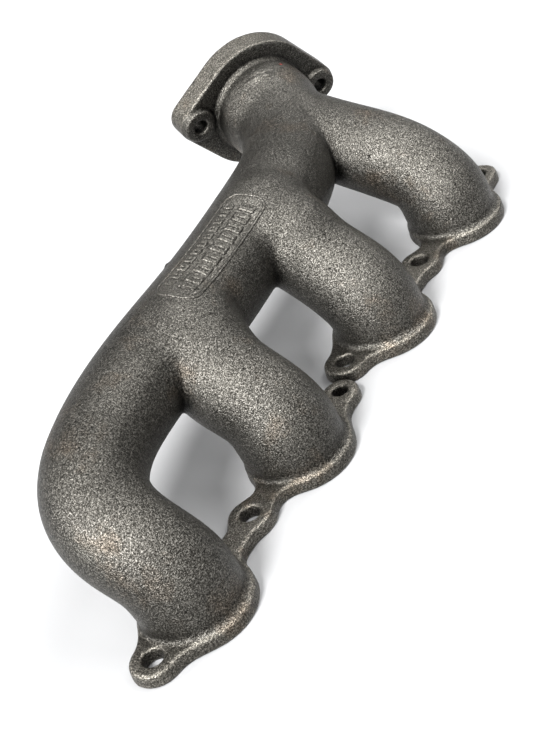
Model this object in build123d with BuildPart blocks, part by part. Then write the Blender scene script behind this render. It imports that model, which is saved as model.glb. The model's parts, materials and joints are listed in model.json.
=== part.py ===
from build123d import *
import os

os.makedirs("parts", exist_ok=True)

# ---------------------------------------------------------------------------
# Cast iron exhaust manifold for one bank of a V8, in millimetres.
# X runs along the row of ports, Y from the ports towards the collector and Z
# away from the cylinder head. Z = 0 is the machined head face, and the origin
# is the centre of the row of head bolts.
# The manifold is one casting: each node below is a region of it, and
# neighbouring regions meet face to face.
# ---------------------------------------------------------------------------

# head side
PORT_PITCH = 111.76
PORT_SHIFT = -4.0
PORT_ROW_X = [PORT_SHIFT + PORT_PITCH * step for step in (-1.5, -0.5, 0.5, 1.5)]
FLANGE_THICKNESS = 8.0
PORT_PAD_RADIUS = 33.0
PORT_RADIUS = 21.5
PORT_FLAT_Y = -16.0
HEAD_HOLE_RADIUS = 6.0
LOCATING_HOLE_RADIUS = 4.85
END_LUG_X = 209.0
END_LUG_RADIUS = 13.3
WEB_HOLE_X = 111.76
WEB_BOSS_RADIUS = 12.8
WEB_LOW_Y = -9.6
WEB_HIGH_Y = 7.2
INNER_LUG_X = 13.2
INNER_LUG_Y = 4.75
INNER_LUG_2_RADIUS = 11.3
INNER_LUG_3_RADIUS = 13.0
WEB_FILLET = 4.0
LUG_FILLET = 9.0
RIM_FILLET = 1.0
PORT_CORNER = 6.0
PAD_CUT = 29.0
TANGENT_GAP = 1.0

# runners and collector
WALL = 5.5
RUNNER_RADIUS = 27.0
BEAD_RADIUS = 30.0
BEAD_HEIGHT = 3.5
COLLECTOR_MID_RADIUS = 29.0
NECK_RADIUS = 31.0
RUNNER_BEND = 32.0
TOP_BEND = 30.0
COLLECTOR_BEND = 100.0
KNEE_BEND = 80.0
KNEE_REACH = 10.0
TAPER_REACH = 12.0

# where the regions of the casting meet
RUNNER_CUT_Y = 24.0
RUNNER_CUT_Z = 52.0
END_BEND_CUT_X = -128.0
MIDDLE_CUT_X = 0.0
FAR_CUT_X = 108.0

# outlet flange
OUTLET_BACK_CENTRE = (195.0, 136.0, 80.0)
OUTLET_NORMAL = (0.532, 0.806, 0.259)
OUTLET_BOLT_DIRECTION = (0.847, -0.498, -0.185)
OUTLET_THICKNESS = 16.5
OUTLET_BOLT_SPACING = 93.0
OUTLET_DISC_RADIUS = 44.6
OUTLET_EAR_RADIUS = 12.6
OUTLET_HOLE_RADIUS = 5.3
OUTLET_BORE_RADIUS = 26.5
OUTLET_BOSS_RADIUS = 11.8
OUTLET_BOSS_HEIGHT = 3.8
NECK_LENGTH = 24.0

# badge pad on the collector's crown
BADGE_LENGTH = 98.0
BADGE_WIDTH = 27.0
BADGE_CORNER = 9.0
BADGE_HEIGHT = 1.2
BADGE_CENTRE_X = 2.5
BADGE_TILT = 20.0


def toward(start, end, distance):
    """Point at a distance from start on the way to end."""
    step = (Vector(*end) - Vector(*start)).normalized() * distance
    return tuple(Vector(*start) + step)


# ---------------------------------------------------------------------------
# routes of the gas passages
# ---------------------------------------------------------------------------
Z0 = FLANGE_THICKNESS

END_BEND_POINTS = [
    (PORT_ROW_X[0], 0.0, Z0),
    (PORT_ROW_X[0], 0.0, 26.0),
    (-173.0, 27.0, 56.0),
    (-160.0, 42.0, 66.0),
    (-105.0, 58.5, 69.0),
    (-90.0, 59.25, 69.0),
]
END_BEND_RADII = [RUNNER_BEND, TOP_BEND, TOP_BEND, COLLECTOR_BEND]
LOG_START = END_BEND_POINTS[-1]
KNEE = (68.0, 67.2, 69.0)
SECOND_KNEE = (120.0, 78.0, 67.0)
LOG_END = toward(KNEE, LOG_START, KNEE_REACH)
TAPER_START = toward(KNEE, SECOND_KNEE, KNEE_REACH)
TAPER_END = toward(SECOND_KNEE, KNEE, TAPER_REACH)
KNEE_POINTS = [LOG_END, KNEE, TAPER_START]
NECK_POINTS = [TAPER_END, SECOND_KNEE, (168.0, 95.5, 68.0), OUTLET_BACK_CENTRE]
NECK_RADII = [60.0, 45.0]

RUNNER_2_POINTS = [
    (PORT_ROW_X[1], 0.0, Z0),
    (PORT_ROW_X[1], 0.0, 29.0),
    (PORT_ROW_X[1], 36.0, 65.0),
    (-52.0, 60.0, 70.0),
]
RUNNER_3_POINTS = [
    (PORT_ROW_X[2], 0.0, Z0),
    (PORT_ROW_X[2], 0.0, 29.0),
    (PORT_ROW_X[2], 36.0, 65.0),
    (60.0, 66.0, 70.0),
]
RUNNER_4_POINTS = [
    (PORT_ROW_X[3], 0.0, Z0),
    (PORT_ROW_X[3], 0.0, 27.0),
    (PORT_ROW_X[3], 22.0, 44.5),
    (166.0, 64.0, 65.0),
    (176.0, 106.0, 73.0),
]
RUNNER_RADII = [RUNNER_BEND, TOP_BEND]
RUNNER_4_RADII = [RUNNER_BEND, 40.0, 80.0]


def tube(points, bend_radii, radius):
    """Round bar that follows straight runs joined by tangent arcs."""
    with BuildPart() as bar:
        with BuildLine() as route:
            FilletPolyline(*points, radius=bend_radii)
        with BuildSketch(Plane(origin=points[0], z_dir=route.line % 0)):
            Circle(radius)
        sweep()
    return bar.part


def cone(start, end, start_radius, end_radius):
    """Tapered round bar between two points."""
    direction = Vector(*end) - Vector(*start)
    with BuildPart() as bar:
        with BuildSketch(Plane(origin=start, z_dir=direction)):
            Circle(start_radius)
        with BuildSketch(Plane(origin=end, z_dir=direction)):
            Circle(end_radius)
        loft(ruled=True)
    return bar.part


def passages(shrink):
    """Every run of the manifold as a round bar, shrink millimetres inside its skin."""
    small = RUNNER_RADIUS - shrink
    middle = COLLECTOR_MID_RADIUS - shrink
    large = NECK_RADIUS - shrink
    return [
        tube(END_BEND_POINTS, END_BEND_RADII, small),
        cone(LOG_START, LOG_END, small, middle),
        tube(KNEE_POINTS, [KNEE_BEND], middle),
        cone(TAPER_START, TAPER_END, middle, large),
        tube(NECK_POINTS, NECK_RADII, large),
        tube(RUNNER_2_POINTS, RUNNER_RADII, small),
        tube(RUNNER_3_POINTS, RUNNER_RADII, small),
        tube(RUNNER_4_POINTS, RUNNER_4_RADII, small),
    ]


OUTLET_PLANE = Plane(
    origin=OUTLET_BACK_CENTRE, x_dir=OUTLET_BOLT_DIRECTION, z_dir=OUTLET_NORMAL
)

# ---------------------------------------------------------------------------
# hollow casting above the head flanges
# ---------------------------------------------------------------------------
skins = passages(0.0)
cores = passages(WALL)

with BuildPart() as casting:
    for skin in skins:
        add(skin)
    for port_x in PORT_ROW_X:
        with BuildSketch(Plane.XY.offset(Z0)):
            with Locations((port_x, 0)):
                Circle(BEAD_RADIUS)
        with BuildSketch(Plane.XY.offset(Z0 + BEAD_HEIGHT)):
            with Locations((port_x, 0)):
                Circle(RUNNER_RADIUS)
        loft(ruled=True)
    for core in cores:
        add(core, mode=Mode.SUBTRACT)

# planes where the regions of the casting meet
RUNNER_CUT = Plane(origin=(0, RUNNER_CUT_Y, RUNNER_CUT_Z), z_dir=(0, 1, 1))
END_BEND_CUT = Plane.YZ.offset(END_BEND_CUT_X)
MIDDLE_CUT = Plane.YZ.offset(MIDDLE_CUT_X)
FAR_CUT = Plane.YZ.offset(FAR_CUT_X)
NECK_CUT = OUTLET_PLANE.offset(-NECK_LENGTH)

with BuildPart() as runner_row:
    add(casting.part)
    split(bisect_by=RUNNER_CUT, keep=Keep.BOTTOM)

with BuildPart() as collector:
    add(casting.part)
    split(bisect_by=RUNNER_CUT, keep=Keep.TOP)


def save(piece, label):
    """Label a finished piece and write its STEP file."""
    piece.label = label
    export_step(piece, f"parts/{label}.step")


for number, port_x in enumerate(PORT_ROW_X, start=1):
    with BuildPart() as runner:
        add(runner_row.part)
        split(bisect_by=Plane.YZ.offset(port_x - PORT_PITCH / 2), keep=Keep.TOP)
        split(bisect_by=Plane.YZ.offset(port_x + PORT_PITCH / 2), keep=Keep.BOTTOM)
    save(runner.part, f"runner_{number}")

with BuildPart() as collector_end_bend:
    add(collector.part)
    split(bisect_by=END_BEND_CUT, keep=Keep.BOTTOM)
save(collector_end_bend.part, "collector_end_bend")

with BuildPart() as collector_at_runner_2:
    add(collector.part)
    split(bisect_by=END_BEND_CUT, keep=Keep.TOP)
    split(bisect_by=MIDDLE_CUT, keep=Keep.BOTTOM)
save(collector_at_runner_2.part, "collector_at_runner_2")

with BuildPart() as collector_at_runner_3:
    add(collector.part)
    split(bisect_by=MIDDLE_CUT, keep=Keep.TOP)
    split(bisect_by=FAR_CUT, keep=Keep.BOTTOM)
save(collector_at_runner_3.part, "collector_at_runner_3")

with BuildPart() as collector_at_runner_4:
    add(collector.part)
    split(bisect_by=FAR_CUT, keep=Keep.TOP)
    split(bisect_by=NECK_CUT, keep=Keep.BOTTOM)
save(collector_at_runner_4.part, "collector_at_runner_4")

with BuildPart() as outlet_neck:
    add(collector.part)
    split(bisect_by=FAR_CUT, keep=Keep.TOP)
    split(bisect_by=NECK_CUT, keep=Keep.TOP)
    split(bisect_by=OUTLET_PLANE, keep=Keep.BOTTOM)
save(outlet_neck.part, "outlet_neck")

# ---------------------------------------------------------------------------
# badge pad: a thin raised panel with round ends that hugs the crown
# ---------------------------------------------------------------------------
log_direction = (Vector(*LOG_END) - Vector(*LOG_START)).normalized()
log_slope = log_direction.Y / log_direction.X
pad_centre = (BADGE_CENTRE_X, LOG_START[1] + log_slope * (BADGE_CENTRE_X - LOG_START[0]), LOG_START[2])
pad_normal = Vector(0, 0, 1).rotate(Axis.X, BADGE_TILT)
PAD_PLANE = Plane(origin=pad_centre, x_dir=log_direction, z_dir=pad_normal)

with BuildPart() as badge_pad:
    add(cone(LOG_START, LOG_END, RUNNER_RADIUS + BADGE_HEIGHT, COLLECTOR_MID_RADIUS + BADGE_HEIGHT))
    for skin in skins:
        add(skin, mode=Mode.SUBTRACT)
    with BuildSketch(PAD_PLANE):
        RectangleRounded(BADGE_LENGTH, BADGE_WIDTH, BADGE_CORNER)
    extrude(amount=2 * NECK_RADIUS, mode=Mode.INTERSECT)
save(badge_pad.part, "badge_pad")

# ---------------------------------------------------------------------------
# outlet flange and its two bolt bosses
# ---------------------------------------------------------------------------
OUTLET_HOLES = [(-OUTLET_BOLT_SPACING / 2, 0), (OUTLET_BOLT_SPACING / 2, 0)]

with BuildPart() as outlet_flange:
    with BuildSketch(OUTLET_PLANE):
        Circle(OUTLET_DISC_RADIUS)
        with Locations(*OUTLET_HOLES):
            Circle(OUTLET_EAR_RADIUS)
        make_hull()
    extrude(amount=OUTLET_THICKNESS)
    with Locations(OUTLET_PLANE):
        Hole(OUTLET_BORE_RADIUS)
    with Locations(OUTLET_PLANE):
        with Locations(*OUTLET_HOLES):
            Hole(OUTLET_HOLE_RADIUS)
save(outlet_flange.part, "outlet_flange")

for label, place in zip(("outlet_boss_outer", "outlet_boss_inner"), OUTLET_HOLES):
    with BuildPart() as boss:
        with BuildSketch(OUTLET_PLANE):
            with Locations(place):
                Circle(OUTLET_BOSS_RADIUS)
                Circle(OUTLET_HOLE_RADIUS, mode=Mode.SUBTRACT)
        extrude(amount=-OUTLET_BOSS_HEIGHT)
    save(boss.part, label)

# ---------------------------------------------------------------------------
# head flanges: one plate over ports 1 and 2 and one over ports 3 and 4, each
# a chain of lug, port pad, web with a bolt boss, port pad and lug
# ---------------------------------------------------------------------------
END_HOLES = [(-END_LUG_X, 0.0), (END_LUG_X, 0.0)]
WEB_HOLES = [(-WEB_HOLE_X, 0.0), (WEB_HOLE_X, 0.0)]
INNER_HOLE_2 = (-INNER_LUG_X, -INNER_LUG_Y)
INNER_HOLE_3 = (INNER_LUG_X, INNER_LUG_Y)

# port, lug centre, lug radius and hole radius, from port 1 to port 4
LUGS = [
    (PORT_ROW_X[0], END_HOLES[0], END_LUG_RADIUS, HEAD_HOLE_RADIUS),
    (PORT_ROW_X[1], INNER_HOLE_2, INNER_LUG_2_RADIUS, LOCATING_HOLE_RADIUS),
    (PORT_ROW_X[2], INNER_HOLE_3, INNER_LUG_3_RADIUS, HEAD_HOLE_RADIUS),
    (PORT_ROW_X[3], END_HOLES[1], END_LUG_RADIUS, HEAD_HOLE_RADIUS),
]


def head_flange(lugs, web_hole):
    """Plate over two neighbouring ports, with its ports and bolt holes."""
    port_xs = [lug[0] for lug in lugs]
    web_mid_x = sum(port_xs) / len(port_xs)
    with BuildPart() as plate:
        with BuildSketch() as outline:
            for port_x, (lug_x, lug_y), lug_radius, _ in lugs:
                with Locations((port_x, 0)):
                    Circle(PORT_PAD_RADIUS)
                with Locations((lug_x, lug_y)):
                    Circle(lug_radius)
                with Locations(((lug_x + port_x) / 2, lug_y)):
                    Rectangle(abs(lug_x - port_x), 2 * lug_radius)
            with Locations((web_mid_x, (WEB_LOW_Y + WEB_HIGH_Y) / 2)):
                Rectangle(PORT_PITCH, WEB_HIGH_Y - WEB_LOW_Y)
            with Locations(web_hole):
                Circle(WEB_BOSS_RADIUS)
            corners = outline.vertices()
            web_corners = [v for v in corners if abs(v.X - web_mid_x) < PORT_PITCH / 2]
            # the straight sides of a lug run smoothly into its round end, so that needs no fillet
            round_end_xs = [centre[0] for _, centre, _, _ in lugs]
            sharp = [v for v in corners if all(abs(v.X - x) > TANGENT_GAP for x in round_end_xs)]
            lug_corners = [v for v in sharp if v not in web_corners]
            fillet(web_corners, WEB_FILLET)
            fillet(lug_corners, LUG_FILLET)
        extrude(amount=FLANGE_THICKNESS)
        for port_x in port_xs:
            with BuildSketch() as opening:
                with Locations((port_x, 0)):
                    Circle(PORT_RADIUS)
                with Locations((port_x, PORT_RADIUS + PORT_FLAT_Y)):
                    Rectangle(2 * PORT_RADIUS, 2 * PORT_RADIUS, mode=Mode.INTERSECT)
                fillet(opening.vertices().sort_by(Axis.Y)[:2], PORT_CORNER)
            extrude(amount=FLANGE_THICKNESS, mode=Mode.SUBTRACT)
        with BuildSketch():
            for _, centre, _, hole_radius in lugs:
                with Locations(centre):
                    Circle(hole_radius)
            with Locations(web_hole):
                Circle(HEAD_HOLE_RADIUS)
        extrude(amount=FLANGE_THICKNESS, mode=Mode.SUBTRACT)
        top_rim = plate.faces().sort_by(Axis.Z)[-1].outer_wire().edges()
        fillet(top_rim, RIM_FILLET)
    return plate.part


def slab(plate, low_x, high_x, label):
    """Save the stretch of a head flange between two X positions."""
    with BuildPart() as region:
        add(plate)
        split(bisect_by=Plane.YZ.offset(low_x), keep=Keep.TOP)
        split(bisect_by=Plane.YZ.offset(high_x), keep=Keep.BOTTOM)
    save(region.part, label)


ROW_END = END_LUG_X + 2 * END_LUG_RADIUS
for pair, web_hole in ((0, WEB_HOLES[0]), (2, WEB_HOLES[1])):
    plate = head_flange(LUGS[pair : pair + 2], web_hole)
    low_port, high_port = pair + 1, pair + 2
    low_x, high_x = PORT_ROW_X[pair], PORT_ROW_X[pair + 1]
    slab(plate, low_x - ROW_END, low_x - PAD_CUT, f"lug_port_{low_port}")
    slab(plate, low_x - PAD_CUT, low_x + PAD_CUT, f"port_flange_{low_port}")
    slab(plate, low_x + PAD_CUT, high_x - PAD_CUT, f"web_ports_{low_port}_{high_port}")
    slab(plate, high_x - PAD_CUT, high_x + PAD_CUT, f"port_flange_{high_port}")
    slab(plate, high_x + PAD_CUT, high_x + ROW_END, f"lug_port_{high_port}")
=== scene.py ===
import json

import bmesh
import bpy
import numpy as np
import openvdb
from mathutils import Matrix, Vector


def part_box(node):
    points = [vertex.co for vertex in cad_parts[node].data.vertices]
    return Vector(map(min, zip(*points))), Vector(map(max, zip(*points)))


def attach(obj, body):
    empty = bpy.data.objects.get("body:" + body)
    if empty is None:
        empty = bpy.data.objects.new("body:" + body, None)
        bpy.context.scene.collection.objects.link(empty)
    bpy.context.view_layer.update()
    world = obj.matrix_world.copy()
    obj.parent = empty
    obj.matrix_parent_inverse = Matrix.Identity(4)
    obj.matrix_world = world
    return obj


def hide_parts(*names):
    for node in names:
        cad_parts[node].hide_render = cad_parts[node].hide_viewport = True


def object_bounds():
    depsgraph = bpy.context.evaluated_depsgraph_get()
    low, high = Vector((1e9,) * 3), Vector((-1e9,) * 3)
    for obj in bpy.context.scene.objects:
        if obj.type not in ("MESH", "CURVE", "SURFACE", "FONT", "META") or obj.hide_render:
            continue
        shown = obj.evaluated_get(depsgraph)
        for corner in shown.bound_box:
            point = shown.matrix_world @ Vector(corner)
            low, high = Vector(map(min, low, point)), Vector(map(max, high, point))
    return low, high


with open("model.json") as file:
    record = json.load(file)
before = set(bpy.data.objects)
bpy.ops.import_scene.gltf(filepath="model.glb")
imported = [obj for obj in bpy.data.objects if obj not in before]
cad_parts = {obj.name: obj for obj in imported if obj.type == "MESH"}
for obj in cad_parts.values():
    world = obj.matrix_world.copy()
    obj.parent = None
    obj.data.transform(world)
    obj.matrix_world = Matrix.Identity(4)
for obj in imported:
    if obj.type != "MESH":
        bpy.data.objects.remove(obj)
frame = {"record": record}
cad_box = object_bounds()

# The casting is one iron skin, so it is formed as one smooth solid on a grid, in millimetres,
# and then cut into one piece for each CAD node. Pieces share their cut edges and their normals.

MM = 0.001
VOXEL = 1.0
# how far from a skin its field is worked out, and how far the grid goes past the CAD box
REACH = 9.0
MARGIN = 6.0
# the field is cut off at this distance before the skin is taken from it
FIELD_LIMIT = 6.0
# steps used to measure the skin's normals and its bend, and how far off it openness is measured
NORMAL_STEP = VOXEL * 0.75
BEND_STEP, BEND_GAIN = 1.3, 0.6
OPEN_REACH = 8.0

# ---------------------------------------------------------------------------
# sizes, from the frame and its record
# ---------------------------------------------------------------------------
record = frame["record"]
mounts = {m["name"]: m for m in record["mounts"]}


def node_box(node):
    low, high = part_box(node)
    return np.array(low) / MM, np.array(high) / MM


def node_centre(node):
    low, high = node_box(node)
    return (low + high) / 2


PORT_X = [float(node_centre(f"port_flange_{k}")[0]) for k in (1, 2, 3, 4)]
PLATE_TOP = float(node_box("port_flange_1")[1][2])
END_HOLE_X = mounts["head_bolts_end"]["dims"]["spacing_x_mm"] / 2
WEB_HOLE_X = mounts["head_bolts_web"]["dims"]["spacing_x_mm"] / 2
HEAD_HOLE_R = mounts["head_bolts_end"]["dims"]["hole_r_mm"]
LOCATING_HOLE_R = mounts["locating_bolt_inner"]["dims"]["r_mm"]
INNER_HOLE_2 = [v / MM for v in mounts["locating_bolt_inner"]["pos_m"][:2]]
INNER_HOLE_3 = [v / MM for v in mounts["head_bolt_inner"]["pos_m"][:2]]
OUTLET_HOLE_R = mounts["outlet_bolts"]["dims"]["hole_r_mm"]
OUTLET_HOLE_U = mounts["outlet_bolts"]["dims"]["pcd_mm"] / 2
OUTLET_BORE_R = mounts["outlet_bore"]["dims"]["r_mm"]
OUTLET_T = mounts["outlet_bore"]["dims"]["length_mm"]
OUTLET_W = np.array(mounts["outlet_bore"]["axis"])
OUTLET_BACK = np.array(mounts["outlet_bore"]["pos_m"]) / MM - OUTLET_W * OUTLET_T / 2
bolt_line = node_centre("outlet_boss_inner") - node_centre("outlet_boss_outer")
OUTLET_U = bolt_line - OUTLET_W * (bolt_line @ OUTLET_W)
OUTLET_U /= np.linalg.norm(OUTLET_U)
OUTLET_V = np.cross(OUTLET_W, OUTLET_U)

WALL = 5.5

# head plates: round pads, lugs and webs with drafted sides, and a sloping ledge on each pad
PAD_R, PAD_Y = 30.4, -2.0
END_LUG_R = 12.5
INNER_LUG_2_R = 10.6
INNER_LUG_3_R = 12.6
WEB_BOSS_R = 12.2
WEB_LOW_Y, WEB_HIGH_Y = -9.0, 6.5
DRAFT = 0.09
LEDGE_R, LEDGE_Y = 30.0, PAD_Y / 2
LEDGE_HEIGHT, LEDGE_SUNK = 4.0, 0.6
PLATES_FAR_Y = 60.0

# ports and holes: the bolt holes narrow towards the head, and their rims are worn
PORT_R, PORT_FLAT_Y = 21.5, -16.0
PORT_OVERLAP = 1.0
HOLE_TAPER = 0.10
RIM_WEAR, OUTLET_RIM_WEAR = 0.3, 0.6

# outlet: a two-eared flange with bosses, a bead behind it and a slight bulge of the neck
OUTLET_DISC_R, OUTLET_EAR_R = 44.8, 12.7
GASKET_LAND = 0.6
BOSS_R, BOSS_HEIGHT, BOSS_SUNK = 11.4, 3.8, 3.0
BEAD_RING_R, BEAD_R, BEAD_DEPTH = 31.9, 2.2, 1.2
BULB_R, BULB_DEPTH = 32.0, 13.0
BORE_DEPTH, OUTLET_HOLE_DEPTH = 4.0, 8.0
OUTLET_REACH = 75.0

# foundry mark on the neck, and a nib of flash on the log's far shoulder
MARK = np.array([178.6, 115.3, 106.8])
MARK_OUT, MARK_ALONG = np.array([-0.201, -0.177, 0.964]), np.array([0.56, -0.827, -0.036])
MARK_REACH = 16.0
LUMP_HALF, SLOT_HALF, SLOT_OFFSET = (7.2, 2.8, 2.6), (5.5, 1.2, 1.8), 3.8
FLASH_NIB = np.array([-11.0, 78.6, 92.2])
NIB_HALF, NIB_SCALE, NIB_REACH = (1.7, 1.2, 1.4), 1.5, 5.0

# The rest are widths over which two skins blend. First the creases where the runners meet the
# log: narrow at the sides, wide at the top, and narrow all over at the neck.
CREASE_LOW, CREASE_HIGH = 1.4, 11.0
CREASE_Z = (54.0, 84.0)
CREASE_NECK = 3.0
# fillets in the outline of the plates, seen from above
WEB_BOSS_FILLET, PAD_FILLET, LUG_FILLET = 5, 9, 12
# fillets where the plates and the outlet's details meet the pipes
LEDGE_FILLET, PLATE_FILLET = 1.0, 1.4
BULB_FILLET, FLANGE_FILLET, BEAD_FILLET, BOSS_FILLET = 6.0, 1.6, 0.9, 0.8
LUMP_FILLET, SLOT_FILLET, NIB_FILLET = 1.5, 0.8, 0.6
# rounding of outer edges
PLATE_ROUND, FOOT_ROUND, HOLE_ROUND, PORT_ROUND = 1.2, 0.6, 0.5, 6
FLANGE_ROUND, BOSS_ROUND, SMALL_ROUND = 1.2, 1.6, 1.0

# Routes of the runners: x, y, z and outside radius. The first is the collector, which starts as
# runner 1 and ends inside the outlet flange.
COLLECTOR_ROUTE = [
    (PORT_X[0], -0.2, 2.0, 27.3),
    (-173.0, 0.6, 23.5, 27.8),
    (-174.4, 5.5, 35.5, 26.9),
    (-174.2, 22.8, 52.2, 27.3),
    (-166.3, 36.1, 61.3, 27.5),
    (-138.3, 50.0, 68.6, 26.5),
    (-104.9, 57.6, 69.2, 27.0),
    (-60.4, 61.3, 68.8, 27.9),
    (-14.8, 61.2, 68.9, 28.5),
    (40.4, 65.2, 69.1, 28.8),
    (89.1, 70.0, 68.9, 30.2),
    (134.4, 84.7, 66.2, 30.5),
    (180.1, 113.4, 72.7, 31.2),
    (196.1, 137.6, 80.5, 31.0),
]
RUNNER_2_ROUTE = [
    (PORT_X[1], -0.2, 2.0, 27.5),
    (-61.0, 0.6, 22.0, 28.3),
    (-61.3, 7.0, 36.5, 26.9),
    (-60.6, 25.8, 53.6, 27.3),
    (-56.8, 34.2, 59.5, 27.7),
    (-45.0, 46.5, 67.0, 26.6),
]
RUNNER_3_ROUTE = [
    (PORT_X[2], -0.2, 2.0, 27.5),
    (51.0, 1.2, 23.6, 27.4),
    (51.0, 10.7, 37.6, 26.9),
    (51.2, 29.0, 55.4, 26.6),
    (52.6, 36.2, 61.4, 27.5),
    (60.2, 56.5, 71.6, 26.8),
]
RUNNER_4_ROUTE = [
    (PORT_X[3], -0.2, 2.0, 27.5),
    (163.1, 1.1, 21.8, 27.8),
    (163.6, 8.6, 35.9, 26.1),
    (163.5, 21.7, 46.2, 26.5),
    (163.1, 37.1, 54.2, 26.7),
    (165.0, 61.3, 62.6, 26.2),
    (173.0, 92.0, 70.2, 25.0),
]

# ---------------------------------------------------------------------------
# the grid and the fields on it
# ---------------------------------------------------------------------------
origin = np.array(cad_box[0]) / MM - MARGIN
far_corner = np.array(cad_box[1]) / MM + MARGIN
grid_shape = np.ceil((far_corner - origin) / VOXEL).astype(int) + 1
AX, AY, AZ = [(origin[k] + VOXEL * np.arange(grid_shape[k])).astype(np.float32) for k in range(3)]


def block(low, high):
    """The grid cells between two corners, as slices."""
    start = np.clip(np.floor((np.array(low) - origin) / VOXEL).astype(int), 0, grid_shape)
    stop = np.clip(np.ceil((np.array(high) - origin) / VOXEL).astype(int) + 1, 0, grid_shape)
    return tuple(slice(a, b) for a, b in zip(start, stop))


def window(centre, reach):
    """The grid cells within reach of a point, as slices."""
    return block(np.array(centre) - reach, np.array(centre) + reach)


def coordinates(cells):
    """X, Y and Z of a block of cells, ready to broadcast."""
    return AX[cells[0]][:, None, None], AY[cells[1]][None, :, None], AZ[cells[2]][None, None, :]


def smooth_min(a, b, k):
    """The lesser of two fields, blended over a width k."""
    h = np.maximum(k - np.abs(a - b), 0) / k
    return np.minimum(a, b) - h * h * (k / 4)


def smooth_max(a, b, k):
    return -smooth_min(-a, -b, k)


def spline(route, step):
    """Evenly spaced points of the natural cubic spline through a route."""
    route = np.array(route, float)
    chord = np.linalg.norm(np.diff(route[:, :3], axis=0), axis=1)
    at = np.concatenate([[0], np.cumsum(chord)])
    count = len(route)
    system = np.eye(count)
    right = np.zeros_like(route)
    for i in range(1, count - 1):
        system[i, i - 1 : i + 2] = chord[i - 1], 2 * (chord[i - 1] + chord[i]), chord[i]
        rise = (route[i + 1] - route[i]) / chord[i] - (route[i] - route[i - 1]) / chord[i - 1]
        right[i] = 6 * rise
    bend = np.linalg.solve(system, right)
    s = np.linspace(0, at[-1], int(at[-1] / step) + 1)
    i = np.clip(np.searchsorted(at, s, side="right") - 1, 0, count - 2)
    h, a, b = chord[i][:, None], (at[i + 1] - s)[:, None], (s - at[i])[:, None]
    curve = (bend[i] * a**3 + bend[i + 1] * b**3) / (6 * h)
    curve += (route[i] / h - bend[i] * h / 6) * a + (route[i + 1] / h - bend[i + 1] * h / 6) * b
    return curve


def tube(route):
    """Distance to the skin swept by a ball that follows a route."""
    field = np.full(grid_shape, REACH, np.float32)
    for x, y, z, radius in spline(route, VOXEL):
        cells = window((x, y, z), radius + REACH)
        gx, gy, gz = coordinates(cells)
        ball = np.sqrt((gx - x) ** 2 + (gy - y) ** 2 + (gz - z) ** 2) - np.float32(radius)
        np.minimum(field[cells], ball, out=field[cells])
    return field


# ---------------------------------------------------------------------------
# outlines, as distances that are negative inside
# ---------------------------------------------------------------------------
def circle(x, y, cx, cy, radius):
    return np.hypot(x - cx, y - cy) - radius


def capsule(x, y, start, end, radius):
    (ax, ay), (bx, by) = start, end
    run_x, run_y = bx - ax, by - ay
    t = np.clip(((x - ax) * run_x + (y - ay) * run_y) / (run_x**2 + run_y**2), 0, 1)
    return np.hypot(x - ax - t * run_x, y - ay - t * run_y) - radius


def rectangle(x, y, low, high):
    dx = np.abs(x - (low[0] + high[0]) / 2) - (high[0] - low[0]) / 2
    dy = np.abs(y - (low[1] + high[1]) / 2) - (high[1] - low[1]) / 2
    return np.hypot(np.maximum(dx, 0), np.maximum(dy, 0)) + np.minimum(np.maximum(dx, dy), 0)


def plate_outline(x, y, ports, lugs, web_hole_x):
    """Two port pads, the lug beyond each, and the web between them with its bolt boss."""
    outline = rectangle(x, y, (ports[0], WEB_LOW_Y), (ports[1], WEB_HIGH_Y))
    outline = smooth_min(outline, circle(x, y, web_hole_x, 0, WEB_BOSS_R), WEB_BOSS_FILLET)
    pads = np.minimum(circle(x, y, ports[0], PAD_Y, PAD_R), circle(x, y, ports[1], PAD_Y, PAD_R))
    outline = smooth_min(outline, pads, PAD_FILLET)
    for port_x, (lug_x, lug_y), radius in lugs:
        lug = capsule(x, y, (port_x, lug_y), (lug_x, lug_y), radius)
        outline = smooth_min(outline, lug, LUG_FILLET)
    return outline


# for each plate: its ports, its lugs as port, hole and radius, and the hole in its web
PLATES = [
    (
        PORT_X[:2],
        [(PORT_X[0], (-END_HOLE_X, 0.0), END_LUG_R), (PORT_X[1], INNER_HOLE_2, INNER_LUG_2_R)],
        -WEB_HOLE_X,
    ),
    (
        PORT_X[2:],
        [(PORT_X[2], INNER_HOLE_3, INNER_LUG_3_R), (PORT_X[3], (END_HOLE_X, 0.0), END_LUG_R)],
        WEB_HOLE_X,
    ),
]
HEAD_HOLES = [
    (-END_HOLE_X, 0.0, HEAD_HOLE_R),
    (END_HOLE_X, 0.0, HEAD_HOLE_R),
    (-WEB_HOLE_X, 0.0, HEAD_HOLE_R),
    (WEB_HOLE_X, 0.0, HEAD_HOLE_R),
    (*INNER_HOLE_2, LOCATING_HOLE_R),
    (*INNER_HOLE_3, HEAD_HOLE_R),
]


def uneven_capsule(u, v, big, small, length):
    """Hull of a big circle at the origin and a small one this far from it, mirrored to -u."""
    u, v = np.abs(u), np.abs(v)
    b = (big - small) / length
    a = np.sqrt(1 - b * b)
    k = a * u - b * v
    side = a * v + b * u - big
    beyond_side = np.where(k > a * length, np.hypot(u - length, v) - small, side)
    return np.where(k < 0, np.hypot(u, v) - big, beyond_side)


def ellipsoid(x, y, z, half):
    """Zero on the skin of an ellipsoid at the origin, and minus one at its centre."""
    return np.sqrt((x / half[0]) ** 2 + (y / half[1]) ** 2 + (z / half[2]) ** 2) - 1


# ---------------------------------------------------------------------------
# the skin and the gas passages
# ---------------------------------------------------------------------------
collector = tube(COLLECTOR_ROUTE)
runner_2 = tube(RUNNER_2_ROUTE)
runner_3 = tube(RUNNER_3_ROUTE)
runner_4 = tube(RUNNER_4_ROUTE)

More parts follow.
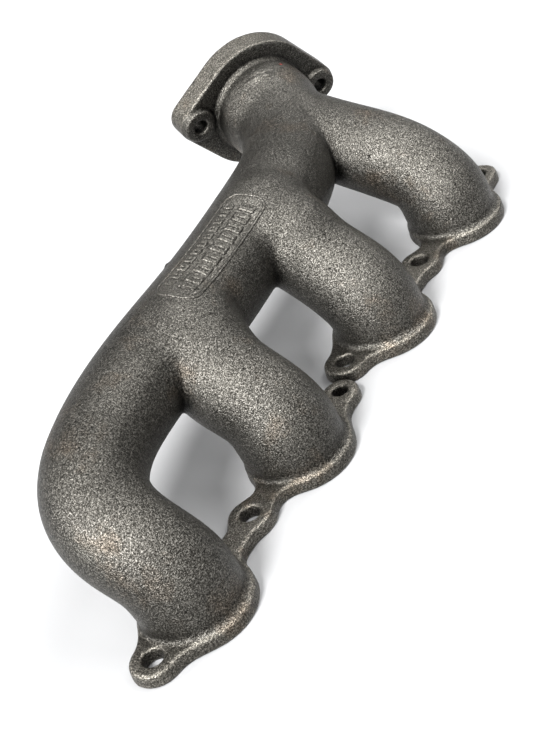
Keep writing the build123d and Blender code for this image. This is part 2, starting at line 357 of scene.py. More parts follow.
everywhere = tuple(slice(0, n) for n in grid_shape)
gx, gy, gz = coordinates(everywhere)
from_outlet = [gx - OUTLET_BACK[0], gy - OUTLET_BACK[1], gz - OUTLET_BACK[2]]


def along(direction):
    """How far each cell lies from the back of the outlet flange, along a direction."""
    return sum(np.float32(direction[k]) * from_outlet[k] for k in range(3))


# the collector ends inside the outlet flange
collector = np.maximum(collector, along(OUTLET_W) - OUTLET_T / 2)
passage = np.minimum(np.minimum(collector, runner_2), np.minimum(runner_3, runner_4)) + WALL

# runners onto the log
share = np.clip((gz - CREASE_Z[0]) / (CREASE_Z[1] - CREASE_Z[0]), 0, 1)
crease = (CREASE_LOW + share * share * (CREASE_HIGH - CREASE_LOW)).astype(np.float32)
skin = smooth_min(collector, runner_2, crease)
skin = smooth_min(skin, runner_3, crease)
skin = smooth_min(skin, runner_4, np.minimum(crease, CREASE_NECK))

# plates, and the ledge around the foot of each runner
plate_cells = block(origin, (far_corner[0], PLATES_FAR_Y, PLATE_TOP + REACH))
plate_x, plate_y = AX[plate_cells[0]][:, None], AY[plate_cells[1]][None, :]
rise = AZ[plate_cells[2]][None, None, :] - PLATE_TOP
plates = np.full((len(plate_x), plate_y.size, rise.size), REACH, np.float32)
for ports, lugs, web_hole_x in PLATES:
    outline = plate_outline(plate_x, plate_y, ports, lugs, web_hole_x)[:, :, None]
    plates = np.minimum(plates, smooth_max(outline + rise * DRAFT, rise, PLATE_ROUND))
for port_x in PORT_X:
    cone = (circle(plate_x, plate_y, port_x, LEDGE_Y, LEDGE_R)[:, :, None] + rise) * np.sqrt(0.5)
    ledge = np.maximum(np.maximum(cone, rise - LEDGE_HEIGHT), -rise - LEDGE_SUNK)
    plates = smooth_min(plates, ledge.astype(np.float32), LEDGE_FILLET)
skin[plate_cells] = smooth_min(skin[plate_cells], plates, PLATE_FILLET)

# outlet: u runs through the bolt holes, and w from the flange's back to its gasket face
outlet_cells = window(OUTLET_BACK, OUTLET_REACH)
u, v, w = [along(direction)[outlet_cells] for direction in (OUTLET_U, OUTLET_V, OUTLET_W)]
ring = np.hypot(u, v)
outline = uneven_capsule(u, v, OUTLET_DISC_R, OUTLET_EAR_R, OUTLET_HOLE_U)
flange = smooth_max(outline, -w, FLANGE_ROUND)
flange = smooth_max(flange, w - OUTLET_T - GASKET_LAND, SMALL_ROUND)
bead = np.hypot(ring - BEAD_RING_R, w + BEAD_DEPTH) - BEAD_R
bulb = np.sqrt(ring**2 + (w + BULB_DEPTH) ** 2) - BULB_R
outlet = smooth_min(skin[outlet_cells], bulb, BULB_FILLET)
outlet = smooth_min(outlet, flange, FLANGE_FILLET)
outlet = smooth_min(outlet, bead, BEAD_FILLET)
for side in (-1, 1):
    post = np.hypot(u - side * OUTLET_HOLE_U, v) - BOSS_R
    boss = smooth_max(smooth_max(post, -BOSS_HEIGHT - w, BOSS_ROUND), w - BOSS_SUNK, SMALL_ROUND)
    outlet = smooth_min(outlet, boss, BOSS_FILLET)
skin[outlet_cells] = outlet

# raised foundry mark on the neck: a short lump with a narrow slot behind it
mark_cells = window(MARK, MARK_REACH)
from_mark = [axis - middle for axis, middle in zip(coordinates(mark_cells), MARK)]
mark_x, mark_y, mark_z = [
    sum(direction[k] * from_mark[k] for k in range(3))
    for direction in (MARK_ALONG, np.cross(MARK_OUT, MARK_ALONG), MARK_OUT)
]
lump = ellipsoid(mark_x, mark_y, mark_z, LUMP_HALF) * min(LUMP_HALF)
slot = ellipsoid(mark_x, mark_y - SLOT_OFFSET, mark_z, SLOT_HALF) * min(SLOT_HALF)
skin[mark_cells] = smooth_min(skin[mark_cells], lump.astype(np.float32), LUMP_FILLET)
skin[mark_cells] = smooth_max(skin[mark_cells], -slot.astype(np.float32), SLOT_FILLET)

# thin flash left at the parting line
nib_cells = window(FLASH_NIB, NIB_REACH)
from_nib = [axis - middle for axis, middle in zip(coordinates(nib_cells), FLASH_NIB)]
nib = ellipsoid(*from_nib, NIB_HALF) * NIB_SCALE
skin[nib_cells] = smooth_min(skin[nib_cells], nib.astype(np.float32), NIB_FILLET)

solid = smooth_max(skin, -gz, FOOT_ROUND)

# gas passages, ports, bolt holes and the outlet bore
hollow = np.maximum(passage, PLATE_TOP - gz)
drilled = np.full(plates.shape, REACH, np.float32)
for port_x in PORT_X:
    mouth = smooth_max(circle(plate_x, plate_y, port_x, 0, PORT_R), PORT_FLAT_Y - plate_y, PORT_ROUND)
    drilled = np.minimum(drilled, np.maximum(mouth[:, :, None], rise - PORT_OVERLAP))
for hole_x, hole_y, radius in HEAD_HOLES:
    hole = circle(plate_x, plate_y, hole_x, hole_y, radius - RIM_WEAR)[:, :, None]
    drilled = np.minimum(drilled, hole - HOLE_TAPER * rise)
hollow[plate_cells] = np.minimum(hollow[plate_cells], drilled)
bore = smooth_max(ring - OUTLET_BORE_R, -BORE_DEPTH - w, SMALL_ROUND)
drilled = smooth_min(hollow[outlet_cells], bore, SMALL_ROUND)
for side in (-1, 1):
    hole = np.hypot(u - side * OUTLET_HOLE_U, v) - OUTLET_HOLE_R + OUTLET_RIM_WEAR
    drilled = np.minimum(drilled, np.maximum(hole, -OUTLET_HOLE_DEPTH - w))
hollow[outlet_cells] = drilled
roomy = np.asarray(smooth_max(solid, -hollow, HOLE_ROUND), np.float32)

# the field that the skin is taken from: cut off and blurred a little
solid = np.clip(roomy, -FIELD_LIMIT, FIELD_LIMIT)
for axis in range(3):
    solid = 0.25 * np.roll(solid, 1, axis) + 0.5 * solid + 0.25 * np.roll(solid, -1, axis)

grid = openvdb.FloatGrid(FIELD_LIMIT)
grid.copyFromArray(solid)
points, quads = grid.convertToQuads(0.0)
points = origin + np.asarray(points, float) * VOXEL
quads = np.asarray(quads, int)
print("skin:", len(points), "points", len(quads), "quads")


def sample(at, values=solid):
    """A field at some points, by trilinear interpolation."""
    cell = (at - origin) / VOXEL
    base = np.clip(np.floor(cell).astype(int), 0, grid_shape - 2)
    t = cell - base
    total = np.zeros(len(at))
    for corner in range(8):
        offset = np.array([corner & 1, corner >> 1 & 1, corner >> 2 & 1])
        weight = np.prod(np.where(offset, t, 1 - t), axis=1)
        i, j, k = (base + offset).T
        total += weight * values[i, j, k]
    return total


def field_normals(at):
    """Outward unit normals of the skin at some points."""
    slopes = []
    for axis in range(3):
        step = np.zeros(3)
        step[axis] = NORMAL_STEP
        slopes.append(sample(at + step) - sample(at - step))
    slopes = np.stack(slopes, 1)
    return slopes / np.maximum(np.linalg.norm(slopes, axis=1), 1e-9)[:, None]


def field_bend(at):
    """How the skin bends at some points: 0.5 is flat, less is a crease and more is an edge."""
    total = -6 * sample(at)
    for axis in range(3):
        step = np.zeros(3)
        step[axis] = BEND_STEP
        total += sample(at + step) + sample(at - step)
    return np.clip(0.5 + total / BEND_STEP**2 * BEND_GAIN, 0, 1)


def openness(at, normals):
    """Share of a short way off the skin that is clear of other skin: 1 is open, less is a hollow
    between parts.
    """
    return np.clip(sample(at + normals * OPEN_REACH, roomy) / OPEN_REACH, 0, 1)


def add_shades(mesh, bend, clear):
    """Keep the bend and the openness of each vertex, which the material turns into painted shade in
    creases and hollows and wear on edges.
    """
    for name, values in (("bend", bend), ("open", clear)):
        attribute = mesh.attributes.new(name, "FLOAT", "POINT")
        attribute.data.foreach_set("value", np.asarray(values, np.float32))


# ---------------------------------------------------------------------------
# materials
# ---------------------------------------------------------------------------
IRON_DARK = (0.020, 0.0188, 0.0163)
IRON_MID = (0.056, 0.053, 0.0465)
IRON_LIGHT = (0.155, 0.148, 0.134)
# painted light: a lightening of the plates and outlet flange, for the brighter light that falls on
# them
PLATE_PAINTED_LIGHT = (1.45, 1.43, 1.40)
RUST_TINT = (1.15, 1.00, 0.88)
FLECK_COLOUR = (0.30, 0.03, 0.02)
# what makes up the surface, in cells per metre, and how deep it is in metres
GRAIN_SCALE, SPECKLE_SCALE, LUMP_SCALE = 1350, 850, 520
CLOUD_SCALE, RUST_SCALE, PIT_SCALE, FLECK_SCALE = 20, 26, 72, 24
GRAIN_DEPTH, LUMP_DEPTH, PIT_DEPTH = 0.00047, 0.0003, 0.0005
# milled faces: how thick a layer counts as the face, its marks along each axis and its roughness
MILLED_DEPTH = 0.00035
MILL_MARKS = (90, 2600, 90)
MILLED_ROUGHNESS = 0.34
# how far above the plates their painted light ends, and how far past its back the flange's painted
# light starts
PLATE_LIGHT_RISE, FLANGE_LIGHT_W = 0.5, 1.0


class Shade:
    """A Principled material and short ways to add nodes to it."""

    def __init__(self, name):
        self.material = bpy.data.materials.new(name)
        self.material.use_nodes = True
        self.nodes = self.material.node_tree.nodes
        self.links = self.material.node_tree.links
        self.shader = self.nodes["Principled BSDF"]
        self.where = self.nodes.new("ShaderNodeTexCoord").outputs["Object"]

    def noise(self, scale, detail=2.0, roughness=0.55, stretch=None):
        """Noise of a scale in cells per metre, stretched by a factor for each axis."""
        node = self.nodes.new("ShaderNodeTexNoise")
        node.inputs["Scale"].default_value = scale
        node.inputs["Detail"].default_value = detail
        node.inputs["Roughness"].default_value = roughness
        where = self.where
        if stretch:
            scaled = self.nodes.new("ShaderNodeVectorMath")
            scaled.operation = "MULTIPLY"
            scaled.inputs[1].default_value = stretch
            self.links.new(where, scaled.inputs[0])
            where = scaled.outputs["Vector"]
        self.links.new(where, node.inputs["Vector"])
        return node.outputs["Fac"]

    def maths(self, operation, *values):
        """Arithmetic on numbers and sockets."""
        node = self.nodes.new("ShaderNodeMath")
        node.operation = operation
        for socket, value in zip(node.inputs, values):
            if isinstance(value, (int, float)):
                socket.default_value = value
            else:
                self.links.new(value, socket)
        return node.outputs["Value"]

    def beyond(self, direction, distance):
        """One where the surface lies beyond a plane, else zero."""
        node = self.nodes.new("ShaderNodeVectorMath")
        node.operation = "DOT_PRODUCT"
        node.inputs[1].default_value = tuple(float(v) for v in direction)
        self.links.new(self.where, node.inputs[0])
        return self.maths("GREATER_THAN", node.outputs["Value"], distance)

    def cells(self, scale):
        """Distance to the nearest of a scatter of points, in cells."""
        node = self.nodes.new("ShaderNodeTexVoronoi")
        node.inputs["Scale"].default_value = scale
        self.links.new(self.where, node.inputs["Vector"])
        return node.outputs["Distance"]

    def ramp(self, value, *stops):
        """Colour ramp over a value; each stop is a position and a grey or a colour."""
        node = self.nodes.new("ShaderNodeValToRGB")
        elements = node.color_ramp.elements
        while len(elements) < len(stops):
            elements.new(0.5)
        for element, (position, shade) in zip(elements, stops):
            element.position = position
            element.color = (*shade, 1) if isinstance(shade, tuple) else (shade, shade, shade, 1)
        self.links.new(value, node.inputs["Fac"])
        return node.outputs["Color"]

    def blend(self, kind, factor, a, b):
        """Mix two colours; the factor may be a number or a socket, and b a colour or a socket."""
        node = self.nodes.new("ShaderNodeMix")
        node.data_type = "RGBA"
        node.blend_type = kind
        colour_in = [socket for socket in node.inputs if socket.type == "RGBA"]
        if isinstance(factor, float):
            node.inputs[0].default_value = factor
        else:
            self.links.new(factor, node.inputs[0])
        self.links.new(a, colour_in[0])
        if isinstance(b, tuple):
            colour_in[1].default_value = (*b, 1)
        else:
            self.links.new(b, colour_in[1])
        return [socket for socket in node.outputs if socket.type == "RGBA"][0]

    def attribute(self, name):
        """A value kept on the vertices."""
        node = self.nodes.new("ShaderNodeAttribute")
        node.attribute_name = name
        return node.outputs["Fac"]

    def bump(self, height, strength, distance, normal=None):
        """Bend the normal by a height, on top of another bend of it."""
        node = self.nodes.new("ShaderNodeBump")
        if isinstance(strength, float):
            node.inputs["Strength"].default_value = strength
        else:
            self.links.new(strength, node.inputs["Strength"])
        node.inputs["Distance"].default_value = distance
        self.links.new(height, node.inputs["Height"])
        if normal is not None:
            self.links.new(normal, node.inputs["Normal"])
        return node.outputs["Normal"]


def cast_iron():
    """Sand-cast iron: an even sparkling grain, pits, soft dark clouds and thin brown bloom, with
    painted shade in creases and hollows and painted light on the plates and flange.
    """
    iron = Shade("cast_iron")
    iron.shader.inputs["Metallic"].default_value = 1.0
    grain = iron.noise(GRAIN_SCALE, 2.0, 0.7)
    lumps = iron.noise(LUMP_SCALE, 2.0)
    speckle = iron.noise(SPECKLE_SCALE, 1.0)
    clouds = iron.noise(CLOUD_SCALE, 3.0)
    bloom = iron.noise(RUST_SCALE, 4.0, 0.65)
    pits = iron.cells(PIT_SCALE)

    colour = iron.ramp(grain, (0.37, IRON_DARK), (0.50, IRON_MID), (0.64, IRON_LIGHT))
    colour = iron.blend("MULTIPLY", 1.0, colour, iron.ramp(clouds, (0.32, 0.80), (0.68, 1.12)))
    colour = iron.blend("MULTIPLY", 1.0, colour, iron.ramp(speckle, (0.34, 0.62), (0.66, 1.36)))
    rust = iron.ramp(bloom, (0.56, 0.0), (0.74, 1.0))
    colour = iron.blend("MULTIPLY", rust, colour, RUST_TINT)
    colour = iron.blend("MULTIPLY", 1.0, colour, iron.ramp(pits, (0.045, 0.30), (0.075, 1.0)))
    # painted shade: creases are darkened where shade falls, and edges are rubbed bright as wear
    crease_shade_and_edge_wear = iron.ramp(iron.attribute("bend"), (0.20, 0.30), (0.46, 1.0), (0.58, 1.0), (0.85, 1.3))
    colour = iron.blend("MULTIPLY", 1.0, colour, crease_shade_and_edge_wear)
    # painted shade: hollows between parts are darkened where shade falls
    nook_shade = iron.ramp(iron.attribute("open"), (0.05, 0.30), (0.45, 0.72), (0.95, 1.0))
    colour = iron.blend("MULTIPLY", 1.0, colour, nook_shade)
    # painted light: plates and outlet flange are painted a shade lighter than the pipes, for the
    # brighter light that falls on them
    flange_back = float(OUTLET_BACK @ OUTLET_W)
    over_plates = iron.beyond((0, 0, 1), (PLATE_TOP + PLATE_LIGHT_RISE) * MM)
    on_flange = iron.beyond(OUTLET_W, (flange_back + FLANGE_LIGHT_W) * MM)
    painted_light_on_plates_or_flange = iron.maths("MAXIMUM", iron.maths("SUBTRACT", 1.0, over_plates), on_flange)
    colour = iron.blend("MULTIPLY", painted_light_on_plates_or_flange, colour, PLATE_PAINTED_LIGHT)
    fleck = iron.ramp(iron.cells(FLECK_SCALE), (0.022, 1.0), (0.030, 0.0))
    colour = iron.blend("MIX", fleck, colour, FLECK_COLOUR)

    # faces cut by the mill: the head face and the outlet's gasket face
    gasket_face = (flange_back + OUTLET_T + GASKET_LAND) * MM
    on_head_face = iron.beyond((0, 0, -1), -MILLED_DEPTH)
    on_gasket_face = iron.beyond(OUTLET_W, gasket_face - MILLED_DEPTH)
    milled = iron.maths("MAXIMUM", on_head_face, on_gasket_face)
    marks = iron.noise(1.0, 2.0, stretch=MILL_MARKS)
    colour = iron.blend("MIX", milled, colour, iron.ramp(marks, (0.3, 0.22), (0.7, 0.36)))
    iron.links.new(colour, iron.shader.inputs["Base Color"])
    roughness = iron.ramp(lumps, (0.3, 0.52), (0.7, 0.38))
    roughness = iron.blend("MIX", milled, roughness, (MILLED_ROUGHNESS,) * 3)
    iron.links.new(roughness, iron.shader.inputs["Roughness"])

    # relief: pits everywhere, lumps and grain only where the iron is as cast
    as_cast = iron.maths("SUBTRACT", 1.0, milled)
    normal = iron.bump(iron.ramp(pits, (0.03, 0.0), (0.09, 1.0)), 0.5, PIT_DEPTH)
    normal = iron.bump(lumps, as_cast, LUMP_DEPTH, normal)
    normal = iron.bump(grain, as_cast, GRAIN_DEPTH, normal)
    iron.links.new(normal, iron.shader.inputs["Normal"])
    return iron.material


CAST = cast_iron()

# ---------------------------------------------------------------------------
# cutting the skin into pieces
# ---------------------------------------------------------------------------
# above the plates, on both sides of each port, across the log, and where y + z has one value
FOOT_CUT = PLATE_TOP + 1.4
PAD_CUT = 31.6
END_BEND_CUT_X, MIDDLE_CUT_X, FAR_CUT_X = -128.0, 0.0, 108.0
RUNNER_CUT = 76.0
# square to the outlet's axis, and where the skin behind its flange counts as a boss
NECK_CUT_W, FLANGE_CUT_W = -24.0, -2.6
BOSS_CUT_U = 34.5
# faces this near to a plane are cut, corners this near are merged, and edges this near lie on it
CUT_REACH, CUT_MERGE, CUT_TOLERANCE = 4.0, 1e-4, 2e-3


def anywhere(p):
    return True


def above_feet(p):
    return p.z > FOOT_CUT


def below_feet(p):
    return p.z < FOOT_CUT


def in_log(p):
    return p.y + p.z > RUNNER_CUT and p.z > FOOT_CUT


def in_far_log(p):
    return in_log(p) and p.x > FAR_CUT_X


# each cut is a point of its plane, the plane's normal, and where it applies
along_x, outlet_w = Vector((1, 0, 0)), Vector(OUTLET_W).normalized()
CUTS = [(Vector((0, 0, FOOT_CUT)), Vector((0, 0, 1)), anywhere)]
for port_x in PORT_X:
    CUTS += [(Vector((port_x + side * PAD_CUT, 0, 0)), along_x, below_feet) for side in (-1, 1)]
CUTS.append((Vector((0, RUNNER_CUT / 2, RUNNER_CUT / 2)), Vector((0, 1, 1)).normalized(), above_feet))
for cut_x in (END_BEND_CUT_X, MIDDLE_CUT_X, FAR_CUT_X):
    CUTS.append((Vector((cut_x, 0, 0)), along_x, in_log))
for cut_w in (NECK_CUT_W, FLANGE_CUT_W):
    CUTS.append((Vector(OUTLET_BACK + OUTLET_W * cut_w), outlet_w, in_far_log))

whole = bpy.data.meshes.new("whole")
whole.from_pydata(points.tolist(), [], quads.tolist())
cutter = bmesh.new()
cutter.from_mesh(whole)
bpy.data.meshes.remove(whole)

for place, normal, applies in CUTS:
    touched = []
    for face in cutter.faces:
        centre = face.calc_center_median()
        if abs((centre - place).dot(normal)) < CUT_REACH and applies(centre):
            touched.append(face)
    edges = {e for f in touched for e in f.edges}
    corners = {c for f in touched for c in f.verts}
    bmesh.ops.bisect_plane(
        cutter, geom=[*corners, *edges, *touched], dist=CUT_MERGE, plane_co=place, plane_no=normal
    )

cutter.verts.ensure_lookup_table()
cutter.verts.index_update()
all_points = np.array([v.co for v in cutter.verts])
faces = [[v.index for v in f.verts] for f in cutter.faces]
cutter.free()
centres = np.array([all_points[f].mean(0) for f in faces])


def node_of(p):
    """Name of the node that a point of the skin belongs to."""
    x, y, z = p
    if z < FOOT_CUT:
        for number, port_x in enumerate(PORT_X, start=1):
            if abs(x - port_x) < PAD_CUT:
                return f"port_flange_{number}"
        if x < PORT_X[0]:
            return "lug_port_1"
        if x < PORT_X[1]:
            return "web_ports_1_2"
        if x < MIDDLE_CUT_X:
            return "lug_port_2"
        if x < PORT_X[2]:
            return "lug_port_3"
        if x < PORT_X[3]:
            return "web_ports_3_4"
        return "lug_port_4"
    if y + z < RUNNER_CUT:
        nearest = min(range(4), key=lambda i: abs(x - PORT_X[i]))
        return f"runner_{nearest + 1}"
    if x < END_BEND_CUT_X:
        return "collector_end_bend"
    if x < MIDDLE_CUT_X:
        return "collector_at_runner_2"
    if x < FAR_CUT_X:
        return "collector_at_runner_3"
    from_back = p - OUTLET_BACK
    depth, reach = from_back @ OUTLET_W, from_back @ OUTLET_U
    if depth < NECK_CUT_W:
        return "collector_at_runner_4"
    if depth > FLANGE_CUT_W:
        return "outlet_flange"
    if reach < -BOSS_CUT_U:
        return "outlet_boss_outer"
    if reach > BOSS_CUT_U:
        return "outlet_boss_inner"
    return "outlet_neck"


by_node = {}
for face, centre in zip(faces, centres):
    by_node.setdefault(node_of(centre), []).append(face)


def cap_groups(border):
    """Border edges of a piece, grouped by the cut plane that they lie on."""
    left = list(border)
    for place, normal, _ in CUTS:
        on = [e for e in left if all(abs((v.co - place).dot(normal)) < CUT_TOLERANCE for v in e.verts)]
        if on:
            left = [e for e in left if e not in set(on)]
            yield normal, on
    if left:
        print("border edges on no plane:", len(left))


def add_piece(node, mesh):
    """Make a mesh the piece that stands for a node."""
    mesh.materials.append(CAST)
    piece = bpy.data.objects.new(f"{node}_skin", mesh)
    bpy.context.scene.collection.objects.link(piece)
    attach(piece, "root")
    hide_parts(node)


def build_piece(node, piece_faces):
    """One closed piece: the node's part of the skin, capped where it was cut."""
    used = sorted({i for f in piece_faces for i in f})
    renumber = {old: new for new, old in enumerate(used)}
    coords = all_points[used]
    mesh = bpy.data.meshes.new(f"{node}_skin")
    mesh.from_pydata((coords * MM).tolist(), [], [[renumber[i] for i in f] for f in piece_faces])
    work = bmesh.new()
    work.from_mesh(mesh)
    bmesh.ops.scale(work, vec=(1 / MM,) * 3, verts=work.verts)
    border = [e for e in work.edges if len(e.link_faces) == 1]
    cap_layer = work.faces.layers.int.new("cap")
    for normal, edges in cap_groups(border):
        filled = bmesh.ops.triangle_fill(work, edges=edges, use_beauty=False, normal=normal)
        for item in filled["geom"]:
            if isinstance(item, bmesh.types.BMFace):
                item[cap_layer] = 1
    bmesh.ops.recalc_face_normals(work, faces=work.faces)
    open_edges = sum(1 for e in work.edges if len(e.link_faces) != 2)
    if open_edges:
        print(node, "has", open_edges, "open or crowded edges")
    bmesh.ops.scale(work, vec=(MM,) * 3, verts=work.verts)
    work.to_mesh(mesh)
    work.free()

    # the skin keeps the field's normals, and the caps are flat
    at = np.zeros(len(mesh.vertices) * 3)
    mesh.vertices.foreach_get("co", at)
    at = at.reshape(-1, 3) / MM
    normals = field_normals(at)
    add_shades(mesh, field_bend(at), openness(at, normals))
    corner_vertex = np.zeros(len(mesh.loops), int)
    mesh.loops.foreach_get("vertex_index", corner_vertex)
    corner_normals = normals[corner_vertex]
    caps = np.zeros(len(mesh.polygons), int)
    mesh.attributes["cap"].data.foreach_get("value", caps)
    for index in np.nonzero(caps)[0]:
        polygon = mesh.polygons[int(index)]
        corner_normals[polygon.loop_start : polygon.loop_start + polygon.loop_total] = polygon.normal
    mesh.attributes.remove(mesh.attributes["cap"])
    mesh.shade_smooth()
    mesh.normals_split_custom_set(corner_normals.tolist())
    add_piece(node, mesh)


for node in sorted(by_node):
    build_piece(node, by_node[node])

# ---------------------------------------------------------------------------
# badge: a raised border and two rows of plain grooved blocks on the crown of the collector
# ---------------------------------------------------------------------------
BADGE_CENTRE_X = 0.5
BADGE_TILT = np.radians(20.0)
BADGE_HALF = (47.5, 13.4)
BADGE_CORNER = 9.0
BADGE_STEP = 0.4
BADGE_ROOT = 0.9
ROUTE_STEP = 0.5
STEPS_FROM_CENTRE, STEPS_ALONG_NORMAL = 6, 4
# heights over the skin, and widths over which they rise
PANEL_HEIGHT, PANEL_SLOPE = 0.15, 0.5
BORDER_HEIGHT, BORDER_WIDTH, BORDER_SLOPE, BORDER_INNER_SLOPE = 0.7, 1.7, 0.6, 0.7
BLOCK_HEIGHT, BLOCK_SLOPE = 0.95, 0.6
GROOVE_DEPTH, GROOVE_HALF, GROOVE_SLOPE, GROOVE_MARGIN = 0.6, 0.8, 0.5, 1.2
# rows of plain blocks: place across the badge, half height, pitch, block width, reach along it
BLOCK_ROWS = [(4.3, 4.5, 9.6, 7.0, 39.0), (-6.6, 2.7, 7.4, 5.2, 38.0)]
# how strongly the relief's edges and creases show in the "bend" value
EDGE_GAIN, CREASE_GAIN = 0.6, 1.7


def ease(t):
    """Smooth rise from zero to one."""
    t = np.clip(t, 0, 1)
    return t * t * (3 - 2 * t)


def badge_height(a, b):
    """Height of the badge over the skin, a along the collector and b across it."""
    core = np.array(BADGE_HALF) - BADGE_CORNER
    inside = BADGE_CORNER - rectangle(a, b, -core, core)
    border = ease(inside / BORDER_SLOPE) * ease((BORDER_WIDTH - inside) / BORDER_INNER_SLOPE)
    height = np.maximum(PANEL_HEIGHT * ease(inside / PANEL_SLOPE), BORDER_HEIGHT * border)
    for row_b, half_tall, pitch, wide, reach in BLOCK_ROWS:
        off_a = np.abs((a / pitch - np.round(a / pitch)) * pitch)
        off_b = np.abs(b - row_b)
        half_wide, half_slope = wide / 2, BLOCK_SLOPE / 2
        raised = ease((half_wide + half_slope - off_a) / BLOCK_SLOPE)
        raised *= ease((half_tall + half_slope - off_b) / BLOCK_SLOPE)
        groove = ease((GROOVE_HALF - off_a) / GROOVE_SLOPE)
        groove *= ease((half_tall - GROOVE_MARGIN - off_b) / GROOVE_SLOPE)
        row = (BLOCK_HEIGHT * raised - GROOVE_DEPTH * groove) * (np.abs(a) < reach)
        height = np.maximum(height, row)
    return height


def badge_grid():
    """Places on the badge: a square grid, squeezed across into the rounded outline."""
    a_count, b_count = [int(2 * half / BADGE_STEP) + 1 for half in BADGE_HALF]
    a = np.linspace(-BADGE_HALF[0], BADGE_HALF[0], a_count)
    b = np.linspace(-BADGE_HALF[1], BADGE_HALF[1], b_count)
    a, b = np.meshgrid(a, b, indexing="ij")
    past = np.maximum(np.abs(a) - (BADGE_HALF[0] - BADGE_CORNER), 0) / BADGE_CORNER
    room = BADGE_HALF[1] - BADGE_CORNER * (1 - np.sqrt(np.maximum(1 - past * past, 0)))
    return a, b / BADGE_HALF[1] * room


def lay_on_skin(a, b):
    """Points of the skin under places on the badge, and the skin's normals there."""
    curve = spline(COLLECTOR_ROUTE, ROUTE_STEP)
    curve = curve[np.argsort(curve[:, 0])]
    x = BADGE_CENTRE_X + a
    y, z, radius = [np.interp(x, curve[:, 0], curve[:, k]) for k in (1, 2, 3)]
    slope = np.gradient(curve, axis=0)
    slope_y = np.interp(x, curve[:, 0], slope[:, 1] / slope[:, 0])
    side = np.stack([slope_y, -np.ones_like(a), np.zeros_like(a)], -1)
    side /= np.linalg.norm(side, axis=-1)[..., None]
    angle = (BADGE_TILT + b / (radius + 1))[..., None]
    out = side * np.sin(angle) + np.array([0, 0, 1.0]) * np.cos(angle)
    place = (np.stack([x, y, z], -1) + out * radius[..., None]).reshape(-1, 3)
    out = out.reshape(-1, 3)
    # settle on the skin, first away from the collector's centre line and then along the normals
    for _ in range(STEPS_FROM_CENTRE):
        place = place - out * sample(place)[:, None]
    for _ in range(STEPS_ALONG_NORMAL):
        out = field_normals(place)
        place = place - out * sample(place)[:, None]
    return place, out


def sheet(index):
    """Quads of a grid of points."""
    corners = [index[:-1, :-1], index[1:, :-1], index[1:, 1:], index[:-1, 1:]]
    return np.stack(corners, -1).reshape(-1, 4)


def build_badge():
    """A closed sheet: the relief on top, its underside in the iron, and a wall round the rim."""
    a, b = badge_grid()
    relief = badge_height(a, b)
    place, out = lay_on_skin(a, b)
    top = place + out * relief.reshape(-1, 1)
    bottom = place - out * BADGE_ROOT
    index = np.arange(a.size).reshape(a.shape)
    rim = np.concatenate([index[:, 0], index[-1, 1:], index[-2::-1, -1], index[0, -2:0:-1]])
    rim_next = np.roll(rim, -1)
    wall = np.stack([rim + a.size, rim_next + a.size, rim_next, rim], -1)
    quads = np.concatenate([sheet(index), sheet(index + a.size)[:, ::-1], wall])
    mesh = bpy.data.meshes.new("badge_pad_skin")
    mesh.from_pydata((np.concatenate([top, bottom]) * MM).tolist(), [], quads.tolist())
    work = bmesh.new()
    work.from_mesh(mesh)
    bmesh.ops.recalc_face_normals(work, faces=work.faces)
    work.to_mesh(mesh)
    work.free()
    around = sum(np.roll(relief, shift, axis) for shift in (1, -1) for axis in (0, 1))
    dip = 4 * relief - around
    bend = np.clip(0.5 + dip * np.where(dip > 0, EDGE_GAIN, CREASE_GAIN), 0, 1).ravel()
    add_shades(mesh, np.concatenate([bend, np.full(bend.shape, 0.5)]), np.ones(2 * bend.size))
    mesh.shade_smooth()
    add_piece("badge_pad", mesh)


build_badge()

# ---------------------------------------------------------------------------
# floor, light and camera
# ---------------------------------------------------------------------------
FLOOR_HALF = 12
PAPER_COLOUR = (0.197, 0.198, 0.200)
floor_corners = [(x * FLOOR_HALF, y * FLOOR_HALF, 0) for x, y in ((-1, -1), (1, -1), (1, 1), (-1, 1))]
floor_mesh = bpy.data.meshes.new("floor")
floor_mesh.from_pydata(floor_corners, [], [(0, 1, 2, 3)])
floor = bpy.data.objects.new("floor", floor_mesh)
bpy.context.scene.collection.objects.link(floor)
paper = bpy.data.materials.new("paper")
paper.use_nodes = True
paper.node_tree.nodes["Principled BSDF"].inputs["Base Color"].default_value = (*PAPER_COLOUR, 1)
paper.node_tree.nodes["Principled BSDF"].inputs["Roughness"].default_value = 0.8
floor_mesh.materials.append(paper)

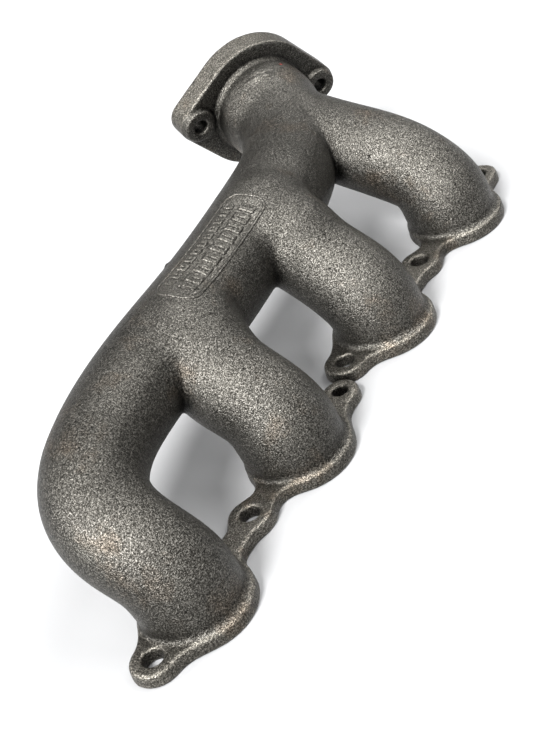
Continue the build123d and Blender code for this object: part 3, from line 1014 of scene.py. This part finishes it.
# softboxes far from the object: azimuth and elevation, spread in degrees, and strength
LAMP_DISTANCE = 1.5
SOFTBOXES = {
    "softbox_key": (184, 46, 20, 13.6),
    "softbox_left": (238, 52, 30, 1.6),
    "softbox_back": (124, 31, 30, 3.0),
    "softbox_right": (302, 56, 32, 2.4),
    "softbox_side": (346, 48, 34, 3.2),
    "softbox_far": (58, 54, 36, 1.4),
    "softbox_low": (220, 12, 30, 0.3),
}
for name, (azimuth, elevation, spread, strength) in SOFTBOXES.items():
    lamp = bpy.data.lights.new(name, "SUN")
    lamp.angle = np.radians(spread)
    lamp.energy = strength
    turn, lift = np.radians(azimuth), np.radians(elevation)
    toward = Vector((np.cos(turn) * np.cos(lift), np.sin(turn) * np.cos(lift), np.sin(lift)))
    holder = bpy.data.objects.new(name, lamp)
    holder.location = toward * LAMP_DISTANCE
    holder.rotation_euler = toward.to_track_quat("Z", "Y").to_euler()
    bpy.context.scene.collection.objects.link(holder)

SURROUND_COLOUR, SURROUND_STRENGTH = (0.75, 0.78, 0.82), 0.04
world = bpy.data.worlds.new("studio")
world.use_nodes = True
surround = world.node_tree.nodes["Background"]
surround.inputs["Color"].default_value = (*SURROUND_COLOUR, 1)
surround.inputs["Strength"].default_value = SURROUND_STRENGTH
bpy.context.scene.world = world
bpy.context.scene.view_settings.view_transform = "Standard"

# the camera is turned about the vertical, tilted up from straight down, and rolled about its view
CAMERA_PLACE = (-0.5131, -0.4092, 0.4426)
CAMERA_TURN, CAMERA_TILT, CAMERA_ROLL = -48.326, 57.863, -23.136
camera = bpy.data.cameras.new("camera")
camera.lens = 68.36
camera.sensor_width = 36
camera.shift_x = -0.0049
camera.shift_y = -0.0014
eye = bpy.data.objects.new("camera", camera)
eye.matrix_world = Matrix.Translation(CAMERA_PLACE)
for angle, axis in ((CAMERA_TURN, "Z"), (CAMERA_TILT, "X"), (CAMERA_ROLL, "Z")):
    eye.matrix_world = eye.matrix_world @ Matrix.Rotation(np.radians(angle), 4, axis)
bpy.context.scene.collection.objects.link(eye)
bpy.context.scene.camera = eye
